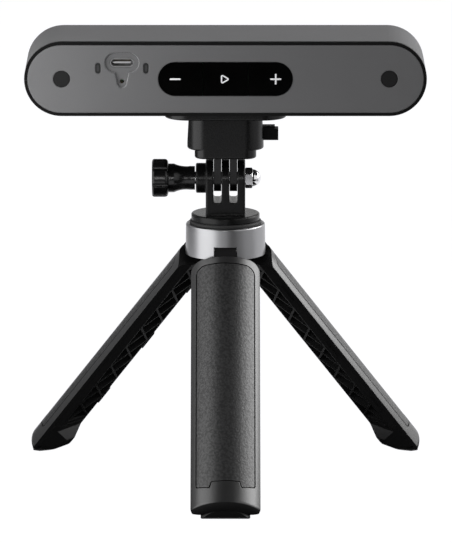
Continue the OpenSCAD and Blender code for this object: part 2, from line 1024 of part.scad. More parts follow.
module release_latch() {
  tab_end = block_w / 2 + latch_reach;
  tab_start = block_w / 2 - tab_root;
  tab_corner = 0.5;
  spring_slot = 2 * (spring_r + spring_wire) + 3 * latch_clear;
  color("black")
    on_column()
      translate([0, 0, latch_z]) {
        translate([0, 0, -latch_plate_t / 2])
          linear_extrude(latch_plate_t)
            difference() {
              translate([latch_back, -latch_plate_d / 2])
                square([tab_start - latch_back + latch_clear / 2, latch_plate_d]);
              circle(groove_r + latch_clear);
              translate([latch_travel, 0])
                circle(spigot_r + latch_clear);
              translate([latch_back - cut, -spring_slot / 2])
                square([spring_seat - latch_back + cut, spring_slot]);
            }
        difference() {
          translate([tab_start, 0, 0])
            rotate([90, 0, 90])
              linear_extrude(tab_end - tab_start)
                round_rect(latch_d, latch_h, tab_corner);
          translate([tab_end - tab_notch_l, -far / 2, latch_h / 2 - tab_notch_h])
            cube(far);
        }
      }
}

// Coil of round wire along X, swept as one closed tube
function coil_point(a, turns, length, r) = [length * a / (360 * turns), r * cos(a), r * sin(a)];

module coil(length, r, wire, turns) {
  sides = 6;
  steps = 10 * turns;
  side_angle = 360 / sides;
  points = [for (i = [0:steps])
    let (a = 360 * turns * i / steps)
      for (k = [0:sides - 1])
        coil_point(a, turns, length, r)
          + wire * (cos(side_angle * k) * [0, cos(a), sin(a)] + sin(side_angle * k) * [1, 0, 0])];
  sides_list = [for (i = [0:steps - 1]) for (k = [0:sides - 1])
    let (a = i * sides + k, b = i * sides + (k + 1) % sides)
      each [[a, a + sides, b], [b, a + sides, b + sides]]];
  polyhedron(points, concat(sides_list, [[for (k = [0:sides - 1]) k]],
    [[for (k = [sides - 1:-1:0]) steps * sides + k]]));
}

module latch_spring() {
  end_gap = spring_wire + seat;
  color("silver")
    on_column()
      translate([spring_back + end_gap, 0, latch_z])
        coil(spring_seat - spring_back - 2 * end_gap, spring_r, spring_wire, spring_turns);
}

// Tilt hinge
module lower_fork() {
  stud_room = 0.5;
  color("black")
    on_column()
      difference() {
        union() {
          rotate_extrude()
            soft_disc(disc_r, disc_z, fork_z, fork_edge);
          translate([0, 0, fork_z - disc_t / 2])
            linear_extrude(pivot_h + disc_t / 2)
              round_rect(fork_w, 2 * fork_top_r, fork_edge);
          translate([-fork_w / 2, 0, tilt_z])
            rotate([0, 90, 0])
              rotate([0, 0, 90])
                rotate_extrude(angle = 180) {
                  soft_disc_low(fork_top_r, 0, fork_w - fork_edge, fork_edge);
                  soft_disc(fork_top_r, fork_edge, fork_w, fork_edge);
                }
          translate([-fork_w / 2 - boss_l, 0, tilt_z])
            rotate([0, 90, 0])
              rotate_extrude()
                soft_disc_low(boss_r, 0, boss_l + prong_t / 2, fork_edge);
        }
        for (s = [-1, 1])
          translate([s * prong_x, 0, 0])
            rotate([90, 0, 0])
              linear_extrude(far, center = true)
                fork_slot();
        translate([-far / 2, 0, tilt_z])
          rotate([0, 90, 0])
            cylinder(h = far, r = bolt_r + bolt_clear);
        translate([0, 0, disc_z - cut])
          cylinder(h = cut + stud_l + stud_room, r = stud_r + bolt_clear);
      }
}

module fork_slot() {
  floor_z = tilt_z - slot_depth;
  for (s = [-1, 1])
    translate([s * (slot_w / 2 - slot_corner), floor_z + slot_corner])
      circle(slot_corner);
  translate([-slot_w / 2, floor_z + slot_corner])
    square([slot_w, far]);
  translate([slot_corner - slot_w / 2, floor_z])
    square([slot_w - 2 * slot_corner, far]);
}

module acorn_nut() {
  dome_r = nut_flats / 2 - seat;
  dome_z = nut_hex_l + nut_dome_l - dome_r;
  corner_r = nut_flats / 2 / cos(30);
  end_r = nut_flats / 2 + seat;
  chamfer = (corner_r + seat - end_r) * tan(30);
  color("silver")
    on_column()
      translate([fork_w / 2, 0, tilt_z])
        rotate([0, 90, 0])
          difference() {
            union() {
              intersection() {
                cylinder(h = nut_hex_l, r = corner_r, $fn = 6);
                rotate_extrude()
                  polygon([[0, 0], [end_r, 0], [corner_r + seat, chamfer],
                    [corner_r + seat, nut_hex_l - chamfer], [end_r, nut_hex_l], [0, nut_hex_l]]);
              }
              intersection() {
                translate([0, 0, dome_z])
                  sphere(dome_r);
                cylinder(h = far, r = dome_r);
              }
              cylinder(h = dome_z, r = dome_r);
            }
            translate([0, 0, -cut])
              cylinder(h = 2 * cut + nut_hex_l, r = bolt_r + bolt_clear);
          }
}

module pivot_bolt() {
  start_x = neck_start_x - bolt_sunk;
  tip_x = fork_w / 2 + nut_hex_l + bolt_tip;
  color("silver")
    on_column()
      translate([start_x, 0, tilt_z])
        rotate([0, 90, 0])
          cylinder(h = tip_x - start_x, r = bolt_r);
}

// Waisted neck and lobed end of the thumb screw, about the pivot axis
module thumb_knob() {
  end_edge = 1;
  neck_edge = 1.4;
  shoulder = 2.8;
  flank_r = 11;
  flank_share = 0.55;
  flank_z = knob_head_l + shoulder + (knob_neck_l - shoulder) * flank_share;
  flute_r = 0.75;
  flute_out = 0.2;
  color("black")
    on_column()
      translate([knob_end_x, 0, tilt_z])
        rotate([0, 90, 0])
          difference() {
            rotate_extrude() {
              soft_disc_low(knob_r, 0, knob_head_l - neck_edge, end_edge);
              soft_disc(knob_r, end_edge, knob_head_l, neck_edge);
              difference() {
                band(0, knob_neck_r, end_edge, knob_head_l + knob_neck_l);
                translate([knob_waist_r + flank_r, flank_z])
                  circle(flank_r);
                band(knob_waist_r + seat, far, flank_z, far);
              }
            }
            for (k = [0:knob_lobes - 1])
              rotate([0, 0, 360 * (k + 0.5) / knob_lobes])
                translate([knob_r + flute_out, 0, -cut])
                  cylinder(h = knob_head_l + 2 * cut, r = flute_r);
            translate([0, 0, knob_head_l - bolt_sunk])
              cylinder(h = far, r = bolt_r + press);
          }
}

// Tripod head
module top_pad() {
  color("black")
    on_column()
      rotate_extrude()
        difference() {
          soft_disc(pad_r, pad_z, disc_z, pad_t / 2);
          band(0, stud_r + seat, pad_z - cut, disc_z + cut);
        }
}

module collar() {
  edge = 0.7;
  color("silver")
    on_column()
      difference() {
        rotate_extrude()
          difference() {
            union() {
              polygon([[0, collar_z], [collar_low_r, collar_z], [collar_top_r, pad_z - edge],
                [collar_top_r - edge, pad_z], [0, pad_z]]);
              translate([collar_top_r - edge, pad_z - edge])
                circle(edge);
            }
            band(0, collar_bore_r, collar_z - cut, pad_z - collar_top_t);
            band(0, hub_neck_r + seat, collar_z, pad_z + cut);
          }
        for (k = [0:leg_count - 1])
          rotate([0, 0, front_leg + 360 * k / leg_count]) {
            translate([0, -lug_w / 2 - lug_clear, collar_z - cut])
              cube([far, lug_w + 2 * lug_clear, notch_h + cut]);
            translate([pivot_r, 0, pivot_z])
              rotate([90, 0, 0])
                cylinder(h = lug_w + 2 * lug_clear, r = lug_r + lug_clear, center = true);
          }
      }
}

module leg_hub() {
  hub_z = collar_z + hub_lift;
  hub_top = pad_z - collar_top_t;
  lug_room = 0.7;
  color("black")
    on_column()
      difference() {
        union() {
          translate([0, 0, hub_z])
            cylinder(h = hub_top - hub_z, r = collar_bore_r - seat);
          translate([0, 0, hub_top - cut])
            cylinder(h = collar_top_t + cut, r = hub_neck_r);
        }
        for (k = [0:leg_count - 1])
          rotate([0, 0, front_leg + 360 * k / leg_count]) {
            translate([pivot_r - lug_r - lug_room, -lug_w / 2 - lug_clear, hub_z - cut])
              cube([far, lug_w + 2 * lug_clear, pivot_z - hub_z + lug_r + lug_room + cut]);
            translate([pivot_r, 0, pivot_z])
              rotate([90, 0, 0])
                cylinder(h = far, r = pin_r + pin_clear / 2, center = true);
          }
        translate([0, 0, collar_z + stud_floor])
          cylinder(h = far, r = stud_r + press);
      }
}

module hinge_pins() {
  color("silver")
    on_column()
      for (k = [0:leg_count - 1])
        rotate([0, 0, front_leg + 360 * k / leg_count])
          translate([pivot_r, 0, pivot_z])
            rotate([90, 0, 0])
              cylinder(h = pin_l, r = pin_r, center = true);
}

module top_stud() {
  stud_z = collar_z + stud_floor + seat;
  color("silver")
    on_column()
      translate([0, 0, stud_z])
        cylinder(h = disc_z + stud_l - stud_z, r = stud_r);
}

// Legs, drawn folded: X is the distance from the column's axis, and Z is zero at the hinge pin
module sector(r, gap) {
  apex = gap / sin(half_sector);
  intersection() {
    circle(r);
    polygon([[apex, 0], [apex + far * cos(half_sector), far * sin(half_sector)],
      [apex + far * cos(half_sector), -far * sin(half_sector)]]);
  }
}

// Front outline of a leg with round upper corners, carried along the leg's thickness
module leg_front(half_w, top, low, corner) {
  rotate([90, 0, 90])
    linear_extrude(far) {
      translate([-half_w, low])
        square([2 * half_w, top - corner - low]);
      translate([corner - half_w, low])
        square([2 * (half_w - corner), top - low]);
      for (s = [-1, 1])
        translate([s * (half_w - corner), top - corner])
          circle(corner);
    }
}

module leg_core(direction) {
  core_low = foot_h - leg_len;
  shoulder_web = 3.5;
  foot_web = 2;
  rib_top = -leg_top - shoulder_web;
  bay = (rib_top - core_low - foot_web) / rib_bays;
  pocket_half = (core_back - leg_gap / sin(half_sector)) * tan(half_sector) - rib_t;
  pocket_l = core_r - web_t - core_back;
  color("black")
    on_leg(direction) {
      difference() {
        union() {
          intersection() {
            translate([0, 0, core_low])
              linear_extrude(-leg_top - core_low)
                difference() {
                  sector(core_r, leg_gap);
                  translate([-far, -far / 2])
                    square([far + core_back, far]);
                }
            leg_front(leg_r * sin(half_sector), -leg_top, core_low, leg_shoulder_r);
          }
          snap_ribs();
          leg_lug();
        }
        translate([core_back - cut, 0, rib_top])
          rotate([90, 0, 90])
            linear_extrude(pocket_l + cut)
              rib_windows(pocket_half, bay);
        translate([pivot_r, 0, 0])
          rotate([90, 0, 0])
            cylinder(h = far, r = pin_r + pin_clear, center = true);
      }
    }
}

// Openings between the crossed ribs: a triangle at each side of a bay, and a diamond where two bays meet
module rib_windows(half_w, bay) {
  half_h = bay / 2;
  slant = rib_t / 2 * sqrt(half_w * half_w + half_h * half_h);
  dx = slant / half_h;
  dy = slant / half_w;
  for (b = [0:rib_bays - 1])
    for (s = [-1, 1])
      translate([0, -b * bay - half_h])
        polygon([[s * dx, 0], [s * half_w, half_h - dy], [s * half_w, dy - half_h]]);
  for (b = [0:rib_bays])
    translate([0, -b * bay])
      polygon(concat([[half_w - dx, 0]], b > 0 ? [[0, half_h - dy]] : [],
        [[dx - half_w, 0]], b < rib_bays ? [[0, dy - half_h]] : []));
}

// Lug that carries the hinge pin, from the leg's shoulder up into the hub
module leg_lug() {
  inner = pivot_r - lug_r;
  root_r = sqrt(core_r * core_r - lug_w * lug_w / 4) - seat;
  rotate([90, 0, 0])
    linear_extrude(lug_w, center = true) {
      translate([pivot_r, 0])
        circle(lug_r);
      translate([inner, seat - leg_top])
        square([2 * lug_r, leg_top - seat]);
      translate([inner, -leg_top - cut])
        square([root_r - inner, leg_top + cut]);
    }
}

// Short ribs along one side, which touch the next leg when the tripod is folded
module snap_ribs() {
  rib_w = 1.6;
  first = -leg_top - snap_first;
  count = 3;
  for (k = [0:count - 1])
    rotate([0, 0, -half_sector])
      translate([core_back / cos(half_sector), leg_gap - snap_h, first - k * snap_pitch - snap_l / 2])
        cube([rib_w, snap_h + leg_gap, snap_l]);
}

module leg_shell(direction) {
  low = -shell_len;
  color("gray")
    on_leg(direction)
      difference() {
        intersection() {
          rotate_extrude()
            difference() {
              soft_disc_low(leg_r, low, -leg_top, lip_r);
              soft_disc_low(leg_r - leg_wall, low + leg_wall, cut, lip_r - leg_wall);
              band(0, leg_r - lip_r, low - cut, cut);
            }
          translate([0, 0, low - cut])
            linear_extrude(shell_len + 2 * cut)
              sector(leg_r + cut, leg_gap);
          leg_front(leg_r * sin(half_sector), -leg_top, low - cut, leg_shoulder_r);
        }
        below_floor(shell_gap);
        intersection() {
          grip_outline(grip_groove);
          rotate_extrude()
            band(leg_r - grip_t, leg_r + cut, low, 0);
        }
      }
}

// Outline of the grip pad: round corners, and a lower edge that rises to its sides and steps over a notch
module grip_outline(grow) {
  half_w = grip_half_w + grow;
  high = grow - leg_top - grip_top;
  low = -leg_top - grip_top - grip_len;
  notch_half = 5.5;
  notch_d = 2.2;
  notch_out = notch_half + notch_d / 2;
  upper = grip_corner_r + grow;
  lower = grip_low_r + grow;
  side = half_w - lower;
  side_low = low + (side - notch_out) * tan(grip_rise) + grip_low_r / cos(grip_rise);
  foot = side_low - (side - notch_half) * tan(grip_rise) - lower / cos(grip_rise);
  rotate([90, 0, 90])
    linear_extrude(far)
      difference() {
        union() {
          translate([-half_w, side_low])
            square([2 * half_w, high - upper - side_low]);
          translate([upper - half_w, side_low])
            square([2 * (half_w - upper), high - side_low]);
          for (s = [-1, 1]) {
            translate([s * (half_w - upper), high - upper])
              circle(upper);
            translate([s * side, side_low])
              circle(lower);
          }
          polygon([[-side, side_low],
            [-side - lower * sin(grip_rise), side_low - lower * cos(grip_rise)], [-notch_half, foot],
            [notch_half, foot], [side + lower * sin(grip_rise), side_low - lower * cos(grip_rise)],
            [side, side_low]]);
        }
        polygon([[grow - notch_out, low - grow - cut], [notch_out - grow, low - grow - cut],
          [notch_half - grow, low + notch_d - grow], [grow - notch_half, low + notch_d - grow]]);
      }
}

module leg_grip(direction) {
  color("dimgray")
    on_leg(direction)
      intersection() {
        grip_outline(0);
        rotate_extrude()
          band(leg_r - grip_t, leg_r - seat / 2, -shell_len, 0);
      }
}

// Moulded foot: fills the leg's lower end, flares inwards to a round heel and stands on a flat sole
module leg_foot(direction) {
  top = foot_h - leg_len - seat;
  flare_z = top - foot_lead;
  round_r = heel_back + heel_round;
  round_z = -(pivot_z - heel_round + (round_r - pivot_r) * sin(leg_angle)) / cos(leg_angle);
  toe_edge = 0.4;
  tuck = leg_r - lip_r - seat;
  color("black")
    on_leg(direction)
      intersection() {
        rotate([90, 0, 0])
          linear_extrude(far, center = true) {
            polygon([[core_r + cut, top], [core_back, top], [core_back, flare_z],
              [heel_back, flare_z - flare_l], [heel_back, round_z], [round_r, round_z],
              [round_r - heel_round * sin(leg_angle), round_z - heel_round * cos(leg_angle)],
              [toe_r, -leg_len], [tuck, toe_edge - shell_len], [core_r + cut, lip_r - shell_len]]);
            translate([round_r, round_z])
              intersection() {
                circle(heel_round);
                translate([-heel_round, -heel_round])
                  square(heel_round);
              }
          }
        union() {
          translate([0, 0, -leg_len - cut])
            linear_extrude(lip_r + cut + toe_drop)
              intersection() {
                sector(tuck, leg_gap + sole_inset);
                translate([0, -sole_half_w])
                  square([far, 2 * sole_half_w]);
              }
          translate([0, 0, lip_r - shell_len])
            linear_extrude(leg_len)
              sector(core_r, leg_gap);
        }
      }
}

module front_leg_core() { leg_core(front_leg); }
module front_leg_shell() { leg_shell(front_leg); }
module front_leg_grip() { leg_grip(front_leg); }
module front_leg_foot() { leg_foot(front_leg); }
module right_leg_core() { leg_core(right_leg); }
module right_leg_shell() { leg_shell(right_leg); }
module right_leg_grip() { leg_grip(right_leg); }
module right_leg_foot() { leg_foot(right_leg); }
module left_leg_core() { leg_core(left_leg); }
module left_leg_shell() { leg_shell(left_leg); }
module left_leg_grip() { leg_grip(left_leg); }
module left_leg_foot() { leg_foot(left_leg); }

main_shell();
rear_rim();
rear_panel();
front_panel();
cover_glasses();
left_depth_camera();
right_depth_camera();
pattern_projector();
colour_camera();
fill_lights();
optics_bracket();
main_board();
board_chips();
cable_socket();
socket_tongue();
lock_insert();
status_lights();
key_switches();
minus_key();
play_key();
plus_key();
screw_plugs();
case_screws();
thread_insert();
mount_plate();
plate_screw();
mount_block();
release_latch();
latch_spring();
lower_fork();
pivot_bolt();
thumb_knob();
acorn_nut();
top_pad();
collar();
leg_hub();
top_stud();
hinge_pins();
front_leg_core();
front_leg_shell();
front_leg_grip();
front_leg_foot();
right_leg_core();
right_leg_shell();
right_leg_grip();
right_leg_foot();
left_leg_core();
left_leg_shell();
left_leg_grip();
left_leg_foot();
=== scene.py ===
import json
from math import cos, pi, radians, sin, sqrt, tau

import bmesh
import bpy
from mathutils import Matrix, Vector


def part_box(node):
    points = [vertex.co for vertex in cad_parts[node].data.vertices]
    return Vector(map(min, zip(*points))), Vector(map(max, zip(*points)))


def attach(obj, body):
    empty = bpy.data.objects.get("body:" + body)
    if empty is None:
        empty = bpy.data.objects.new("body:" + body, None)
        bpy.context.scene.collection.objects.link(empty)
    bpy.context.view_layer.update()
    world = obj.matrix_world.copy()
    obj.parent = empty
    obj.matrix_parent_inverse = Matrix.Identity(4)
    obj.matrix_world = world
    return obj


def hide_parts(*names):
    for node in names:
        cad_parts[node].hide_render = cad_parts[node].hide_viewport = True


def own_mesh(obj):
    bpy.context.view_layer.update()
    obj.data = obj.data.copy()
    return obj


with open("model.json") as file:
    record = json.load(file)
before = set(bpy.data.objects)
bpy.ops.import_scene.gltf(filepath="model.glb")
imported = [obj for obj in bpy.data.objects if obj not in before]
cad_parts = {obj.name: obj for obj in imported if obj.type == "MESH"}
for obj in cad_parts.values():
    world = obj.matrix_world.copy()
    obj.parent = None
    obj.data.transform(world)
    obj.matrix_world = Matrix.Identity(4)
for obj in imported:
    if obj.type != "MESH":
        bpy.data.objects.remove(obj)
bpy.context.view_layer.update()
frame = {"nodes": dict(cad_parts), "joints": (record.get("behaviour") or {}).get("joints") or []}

nodes = frame["nodes"]
joints = {joint["name"]: joint for joint in frame["joints"]}

# Main shell: the scanner's moulded grey body with full round ends, open at the rear where the rim is
# pressed in. Its satin skin comes from a finely spark-eroded mould, so it shines softly and never mirrors.


class Wire:
    """One socket in a finish's node tree. Arithmetic on it adds Math nodes to that tree."""

    def __init__(self, tree, socket=None):
        self.tree = tree
        self.socket = socket

    def node(self, kind, settings, sockets, output=0):
        """Adds a node of this kind, sets its settings, then its sockets, and gives one of its outputs."""
        made = self.tree.nodes.new("ShaderNode" + kind)
        for name, value in settings.items():
            setattr(made, name, value)
        for name, value in sockets.items():
            if isinstance(value, Wire):
                self.tree.links.new(value.socket, made.inputs[name])
            else:
                made.inputs[name].default_value = value
        return Wire(self.tree, made.outputs[output])

    def math(self, operation, first, second):
        return self.node("Math", {"operation": operation}, {0: first, 1: second})

    def __add__(self, other):
        return self.math("ADD", self, other)

    def __radd__(self, other):
        return self.math("ADD", other, self)

    def __sub__(self, other):
        return self.math("SUBTRACT", self, other)

    def __rsub__(self, other):
        return self.math("SUBTRACT", other, self)

    def __mul__(self, other):
        return self.math("MULTIPLY", self, other)

    def __rmul__(self, other):
        return self.math("MULTIPLY", other, self)

    def __pow__(self, other):
        return self.math("POWER", self, other)

    def between(self, low, high):
        """Zero below low, one above high and a smooth step in between."""
        sockets = {"Value": self, "From Min": low, "From Max": high}
        return self.node("MapRange", {"interpolation_type": "SMOOTHSTEP"}, sockets)

    def mix(self, first, second):
        """A colour between two colours, at this wire's share of the second."""
        sockets = {0: self, 6: first, 7: second}
        return self.node("Mix", {"data_type": "RGBA"}, sockets, 2)

    def to(self, socket):
        self.tree.links.new(self.socket, socket)


def new_finish(name, constants):
    """A material with one Principled shader: the material, a wire to start from and the shader's sockets."""
    material = bpy.data.materials.new(name)
    material.use_nodes = True
    sockets = material.node_tree.nodes["Principled BSDF"].inputs
    for socket, value in constants.items():
        sockets[socket].default_value = value
    return material, Wire(material.node_tree), sockets


cool_tint = 1.02
plastic_ior = 1.46
tone_swing = 0.08
polish_swing = 0.06


def grey(level, share=1.0):
    """A neutral colour, very slightly cool as moulded greys are."""
    return (level * share, level * share, level * share * cool_tint, 1)


def moulded(name, level, rough, grain, depth, edge=0.00025, shine=0.5):
    """Moulded plastic with a spark-eroded grain of this size and depth, faintly clouded in tone and polish.
    Its edges are broken by this radius, as every moulded edge is."""
    material, start, skin = new_finish(name, {"IOR": plastic_ior, "Specular IOR Level": shine})
    place = start.node("TexCoord", {}, {}, "Object")
    broken = start.node("Bevel", {"samples": 4}, {"Radius": edge})
    fine = start.node("TexNoise", {}, {"Vector": place, "Scale": 1 / grain, "Detail": 3.0})
    cloud = start.node("TexNoise", {}, {"Vector": place, "Scale": 70.0, "Detail": 2.0})
    speck = start.node("TexNoise", {}, {"Vector": place, "Scale": 0.6 / grain, "Detail": 1.0})
    mottle = 0.5 * cloud + 0.5 * speck
    mottle.mix(grey(level, 1 - tone_swing), grey(level, 1 + tone_swing)).to(skin["Base Color"])
    polish = rough - polish_swing + 2 * polish_swing * fine + polish_swing * (cloud - 0.5)
    polish.to(skin["Roughness"])
    raised = {"Strength": 0.5, "Distance": depth, "Height": fine, "Normal": broken}
    start.node("Bump", {}, raised).to(skin["Normal"])
    return material


def dress(material, *names):
    """Gives CAD nodes their finish."""
    for name in names:
        nodes[name].data.materials.clear()
        nodes[name].data.materials.append(material)


scanner_grey = moulded("scanner_grey", level=0.145, rough=0.62, grain=0.00022, depth=0.000012,
                       edge=0.00025, shine=0.1)
dress(scanner_grey, "main_shell")

# Rear rim and rear panel: a thin black frame pressed into the shell and the grey panel that lies in it,
# held by two case screws. The screws hide under soft black plugs.
rim_black = moulded("rim_black", level=0.003, rough=0.42, grain=0.0002, depth=0.000008,
                    edge=0.0002, shine=0.15)
dress(rim_black, "rear_rim")
panel_grey = moulded("panel_grey", level=0.133, rough=0.52, grain=0.0002, depth=0.000010,
                     edge=0.0006, shine=0.2)
dress(panel_grey, "rear_panel")
plug_black = moulded("plug_black", level=0.013, rough=0.62, grain=0.0005, depth=0.00003,
                     edge=0.00025, shine=0.15)
dress(plug_black, "screw_plugs")

# Recess slope: the narrow sloped wall round the keyhole recess of the cable socket, moulded as one with the
# rear panel. The mould is polished there, so the wall catches a light line, and its grey is painted paler
# than the panel's as a painted highlight on that line.
sharp_turn = radians(40)


def new_piece(name, mesh, material, body):
    """Links a bmesh as a piece, smooth up to its sharp edges, with its finish and body."""
    for face in mesh.faces:
        face.smooth = True
    for edge in mesh.edges:
        edge.smooth = edge.calc_face_angle(0) < sharp_turn
    data = bpy.data.meshes.new(name)
    mesh.to_mesh(data)
    mesh.free()
    data.materials.append(material)
    piece = bpy.data.objects.new(name, data)
    bpy.context.scene.collection.objects.link(piece)
    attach(piece, body)
    return piece


weld_gap = 1e-7
level_slack = 1e-6
rim_turn = 1


def edge_round(node, face_y, around):
    """The points, in order, of the edge in a node's rear face that runs most closely round another node."""
    low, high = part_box(around)
    solid = bmesh.new()
    solid.from_mesh(nodes[node].data)
    bmesh.ops.remove_doubles(solid, verts=solid.verts, dist=weld_gap)
    rims = {edge for edge in solid.edges if edge.calc_face_angle(0) > rim_turn
            and all(abs(vert.co.y - face_y) < level_slack for vert in edge.verts)}
    closest = []
    while rims:
        chain = list(rims.pop().verts)
        onward = [edge for edge in chain[-1].link_edges if edge in rims]
        while onward:
            rims.discard(onward[0])
            chain.append(onward[0].other_vert(chain[-1]))
            onward = [edge for edge in chain[-1].link_edges if edge in rims]
        reach = [vert.co.x for vert in chain]
        if min(reach) < low.x and max(reach) > high.x:
            loop = [Vector((vert.co.x, vert.co.z)) for vert in chain[:-1]]
            closest = min(closest or loop, loop, key=lambda points: max(spot.x for spot in points))
    solid.free()
    return closest


# painted highlight: a paler grey than the panel's brightens the wall's light line
recess_edge_highlight = moulded("recess_edge_highlight", level=0.22, rough=0.28, grain=0.0002, depth=0.000004,
                      edge=0.00005, shine=0.8)
slope_w = 0.0003
slope_sink = 0.00001
rear_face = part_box("rear_panel")[0].y
recess_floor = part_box("cable_socket")[0].y
keyhole = edge_round("rear_panel", rear_face, "cable_socket")
winding = sum(spot.cross(keyhole[index - 1]) for index, spot in enumerate(keyhole))
slope = bmesh.new()
bands = []
for index, spot in enumerate(keyhole):
    along = (keyhole[(index + 1) % len(keyhole)] - keyhole[index - 1]).normalized()
    inward = Vector((along.y, -along.x)) * (1 if winding > 0 else -1)
    foot = spot + inward * slope_w
    places = ((spot.x, rear_face + slope_sink, spot.y), (spot.x, recess_floor - slope_sink, spot.y),
              (foot.x, recess_floor - slope_sink, foot.y))
    bands.append([slope.verts.new(corner) for corner in places])
for band, after in zip(bands, bands[1:] + bands[:1]):
    for side in range(len(band)):
        beside = (side + 1) % len(band)
        slope.faces.new((band[side], band[beside], after[beside], after[side]))
bmesh.ops.recalc_face_normals(slope, faces=slope.faces)
new_piece("recess_slope", slope, recess_edge_highlight, "head")

# Screws and pins: steel fasteners that hold the case, the mount plate, the tilt hinge and the legs. Their
# finish is metal with faint tool marks and edges that are just broken.
metal_edge = 0.0001
worn_share = 0.88


def metal(name, colour, rough, stretch, depth, bright=1.0):
    """Metal with tool marks: noise drawn out by this much along each axis, and faint handling marks.
    A dull plating is less bright than bare metal."""
    material, start, skin = new_finish(name, {"Metallic": bright})
    place = start.node("TexCoord", {}, {}, "Object")
    broken = start.node("Bevel", {"samples": 4}, {"Radius": metal_edge})
    drawn = start.node("Mapping", {}, {"Vector": place, "Scale": stretch})
    marks = start.node("TexNoise", {}, {"Vector": drawn, "Scale": 1.0, "Detail": 4.0})
    cloud = start.node("TexNoise", {}, {"Vector": place, "Scale": 160.0, "Detail": 2.0})
    dark = [channel * worn_share for channel in colour] + [1]
    cloud.mix(dark, list(colour) + [1]).to(skin["Base Color"])
    (rough * (0.8 + 0.4 * marks)).to(skin["Roughness"])
    raised = {"Strength": 0.4, "Distance": depth, "Height": marks, "Normal": broken}
    start.node("Bump", {}, raised).to(skin["Normal"])
    return material


screw_steel = metal("screw_steel", colour=(0.56, 0.56, 0.57), rough=0.3,
                    stretch=(3000, 3000, 3000), depth=0.000004)
dress(screw_steel, "case_screws", "plate_screw", "top_stud", "hinge_pins", "pivot_bolt")

# Cable socket: a drawn steel USB-C shell on the main board, seen through the keyhole-shaped recess. A pale
# tongue with gold contacts stands inside it, and a brass insert below takes the cable's lock screw.
socket_steel = metal("socket_steel", colour=(0.30, 0.30, 0.305), rough=0.32,
                     stretch=(600, 6000, 6000), depth=0.000004, bright=0.4)
dress(socket_steel, "cable_socket")
tongue_pale = moulded("tongue_pale", level=0.34, rough=0.45, grain=0.0002, depth=0.00001, edge=0.00005)
dress(tongue_pale, "socket_tongue")
insert_brass = metal("insert_brass", colour=(0.66, 0.47, 0.20), rough=0.3,
                     stretch=(2500, 2500, 2500), depth=0.000005)
dress(insert_brass, "lock_insert", "thread_insert")


def soft_box(mesh, low, high, edge):
    """Adds a box between two corners, with its edges rounded."""
    size = Vector(high) - Vector(low)
    middle = (Vector(high) + Vector(low)) / 2
    placed = Matrix.Translation(middle) @ Matrix.Diagonal((*size, 1))
    made = bmesh.ops.create_cube(mesh, size=1, matrix=placed)
    edges = {side for vert in made["verts"] for side in vert.link_edges}
    bmesh.ops.bevel(mesh, geom=list(edges), offset=edge, segments=2, affect="EDGES", profile=0.5)


contact_gold = metal("contact_gold", colour=(0.83, 0.61, 0.28), rough=0.22,
                     stretch=(800, 5000, 5000), depth=0.000002)
tongue_low, tongue_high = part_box("socket_tongue")
contact_pitch = 0.0005
contact_w = 0.00025
contact_t = 0.00004
contact_count = 12
contact_setback = 0.0004
contact_stop = 0.0008
contacts = bmesh.new()
for row in range(contact_count):
    x = (tongue_low.x + tongue_high.x) / 2 + (row - (contact_count - 1) / 2) * contact_pitch
    for z in (tongue_low.z, tongue_high.z):
        near = (x - contact_w / 2, tongue_low.y + contact_setback, z - contact_t)
        far = (x + contact_w / 2, tongue_high.y - contact_stop, z + contact_t)
        soft_box(contacts, near, far, contact_t / 3)
new_piece("socket_contacts", contacts, contact_gold, "head")

# Status lights: two smoke-tinted light pipes that carry the board's lights to the rear face. Unlit, each
# reads as a dark upright window whose milky core is a little paler than its skirt.
smoke_pipe, start, skin = new_finish("smoke_pipe", {"IOR": 1.5, "Specular IOR Level": 0.3})
pipes_low, pipes_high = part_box("status_lights")
pipe_w = 0.0018
pipe_straight = 0.0008
core_reach = 0.15 * pipe_w
skirt_reach = 0.30 * pipe_w
place = start.node("TexCoord", {}, {}, "Object")
across = start.node("SeparateXYZ", {}, {0: place}, "X")
height = start.node("SeparateXYZ", {}, {0: place}, "Z")
from_left = start.math("ABSOLUTE", across - (pipes_low.x + pipe_w / 2), 0)
from_right = start.math("ABSOLUTE", across - (pipes_high.x - pipe_w / 2), 0)
aside = start.math("MINIMUM", from_left, from_right)
above = start.math("ABSOLUTE", height - (pipes_low.z + pipes_high.z) / 2, 0)
past_end = start.math("MAXIMUM", above - pipe_straight, 0)
core = 1 - ((aside ** 2 + past_end ** 2) ** 0.5).between(core_reach, skirt_reach)
haze = start.node("TexNoise", {}, {"Vector": place, "Scale": 2400.0, "Detail": 2.0})
core.mix(grey(0.012), haze.mix(grey(0.028), grey(0.040))).to(skin["Base Color"])
(0.35 + 0.15 * haze).to(skin["Roughness"])
dress(smoke_pipe, "status_lights")

# Keys: three gloss black caps that together make one pill, each over its own switch. Their white symbols
# are printed on, so each symbol rides with its key.
gloss_black, start, skin = new_finish("gloss_black", {"IOR": plastic_ior})
place = start.node("TexCoord", {}, {}, "Object")
smudge = start.node("TexNoise", {}, {"Vector": place, "Scale": 140.0, "Detail": 4.0})
ripple = start.node("TexNoise", {}, {"Vector": place, "Scale": 420.0, "Detail": 1.0})
smudge.mix(grey(0.0006), grey(0.0012)).to(skin["Base Color"])
(0.07 + 0.06 * smudge).to(skin["Roughness"])
start.node("Bump", {}, {"Strength": 0.15, "Distance": 0.00001, "Height": ripple}).to(skin["Normal"])
dress(gloss_black, "minus_key", "play_key", "plus_key", "front_panel")

print_white, start, skin = new_finish("print_white", {"Roughness": 0.5})
place = start.node("TexCoord", {}, {}, "Object")
ink = start.node("TexNoise", {}, {"Vector": place, "Scale": 5000.0, "Detail": 2.0})
ink.mix(grey(0.86), grey(0.94)).to(skin["Base Color"])
start.node("Bump", {}, {"Strength": 0.2, "Distance": 0.000005, "Height": ink}).to(skin["Normal"])

print_proud = 0.00003
print_sides = 6
end_steps = 4


